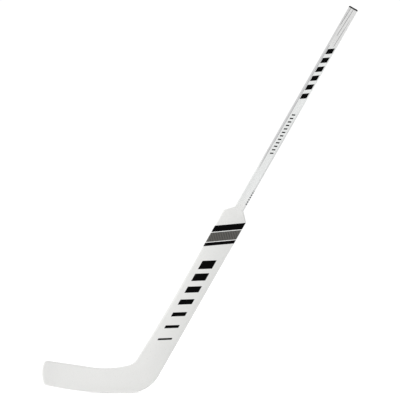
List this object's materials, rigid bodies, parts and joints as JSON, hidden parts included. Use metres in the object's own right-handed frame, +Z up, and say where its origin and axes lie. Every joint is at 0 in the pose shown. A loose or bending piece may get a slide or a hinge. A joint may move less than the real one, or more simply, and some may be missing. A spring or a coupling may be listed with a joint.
{
  "type": "ice hockey goalkeeper stick",
  "caption": "ice hockey goalkeeper's stick: slim straight shaft, wide flat paddle with a sloped shoulder, and a curved blade with a rockered sole, white with dark bars",
  "frame": {"origin": "middle of the flat stretch of the blade's sole, where the stick stands on the ice", "axes": "+Z up from the ice, +X from toe to heel along the sole, -Y out of the face that meets the shot"},
  "size_m": [1.1009, 0.0638, 1.3537],
  "materials": {
    "white_lacquer": "white gloss lacquer over carbon and glass laminate",
    "plug_black": "moulded black plastic",
    "core_foam": "light closed-cell foam",
    "heel_foam": "dense structural foam",
    "carbon_laminate": "bare carbon laminate",
    "print_black": "black print under gloss lacquer",
    "print_pale": "pale grey print under gloss lacquer",
    "print_woven": "printed twill weave under gloss lacquer",
    "print_grey": "mid grey print under gloss lacquer"
  },
  "bodies": {
    "root": {"shaft_tube": "white_lacquer", "butt_plug": "plug_black", "shaft_foam_bung": "core_foam", "paddle_front_skin": "white_lacquer", "paddle_back_skin": "white_lacquer", "blade_front_skin": "white_lacquer", "blade_back_skin": "white_lacquer", "leading_edge_band": "white_lacquer", "trailing_edge_band": "white_lacquer", "blade_top_band": "white_lacquer", "blade_sole_band": "white_lacquer", "paddle_core_leading": "core_foam", "paddle_core_trailing": "core_foam", "paddle_stringer": "carbon_laminate", "heel_block": "heel_foam", "blade_bridge": "carbon_laminate", "blade_core_upper": "core_foam", "blade_core_lower": "core_foam", "sash_stripes": "print_black", "sash_pinstripes": "print_pale", "sash_woven_panel": "print_woven", "paddle_bars": "print_black", "shaft_bars": "print_black", "shaft_ticks": "print_black", "shaft_side_stripe": "print_grey", "shaft_pinstripes": "print_grey", "shaft_side_mark": "print_black"}
  },
  "joints": []
}
